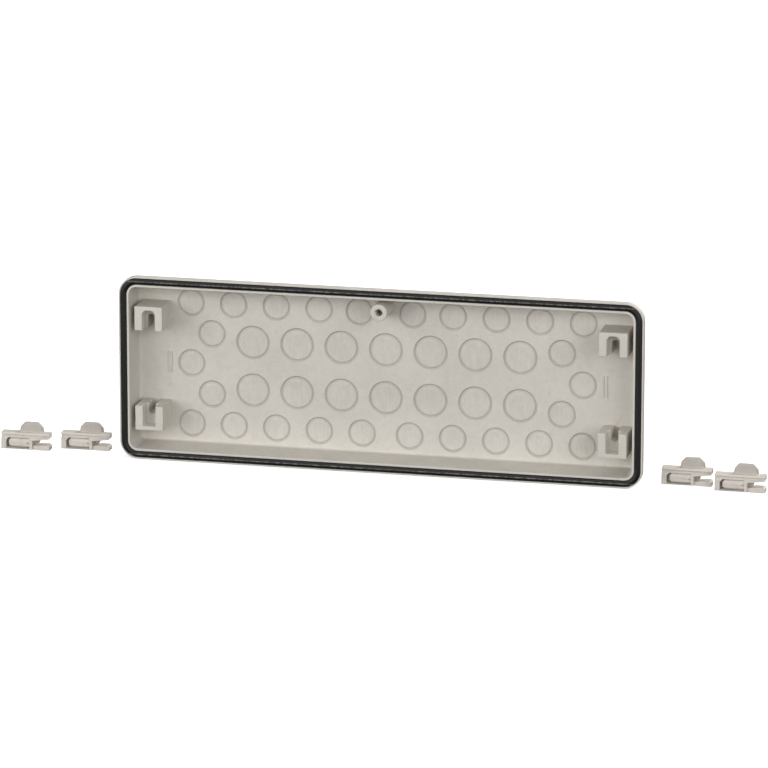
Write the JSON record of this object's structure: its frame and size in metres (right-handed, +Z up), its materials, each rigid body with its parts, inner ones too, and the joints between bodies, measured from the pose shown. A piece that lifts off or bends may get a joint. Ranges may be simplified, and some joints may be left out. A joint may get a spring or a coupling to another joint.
{
  "type": "enclosure flange plate",
  "caption": "Moulded grey flange plate for an enclosure wall: shallow tray with round metric knockouts, corner posts, rim gasket and loose locking wedges.",
  "frame": {"origin": "middle of the rim plane, where the plate meets the enclosure wall", "axes": "+X along the plate, +Z up as in the picture, -Y out of the open side of the tray, into the enclosure; +Y out through the floor to the cable side"},
  "size_m": [0.5021, 0.0245, 0.121],
  "materials": {
    "light_grey_plastic": "fine moulded grain, warm light grey",
    "wedge_plastic": "smooth moulded, warm light grey",
    "black_rubber": "semi-gloss rubber"
  },
  "bodies": {
    "root": {"flange_plate": "light_grey_plastic", "gasket": "black_rubber", "locking_wedge_1": "wedge_plastic", "locking_wedge_2": "wedge_plastic", "locking_wedge_3": "wedge_plastic", "locking_wedge_4": "wedge_plastic"}
  },
  "joints": []
}
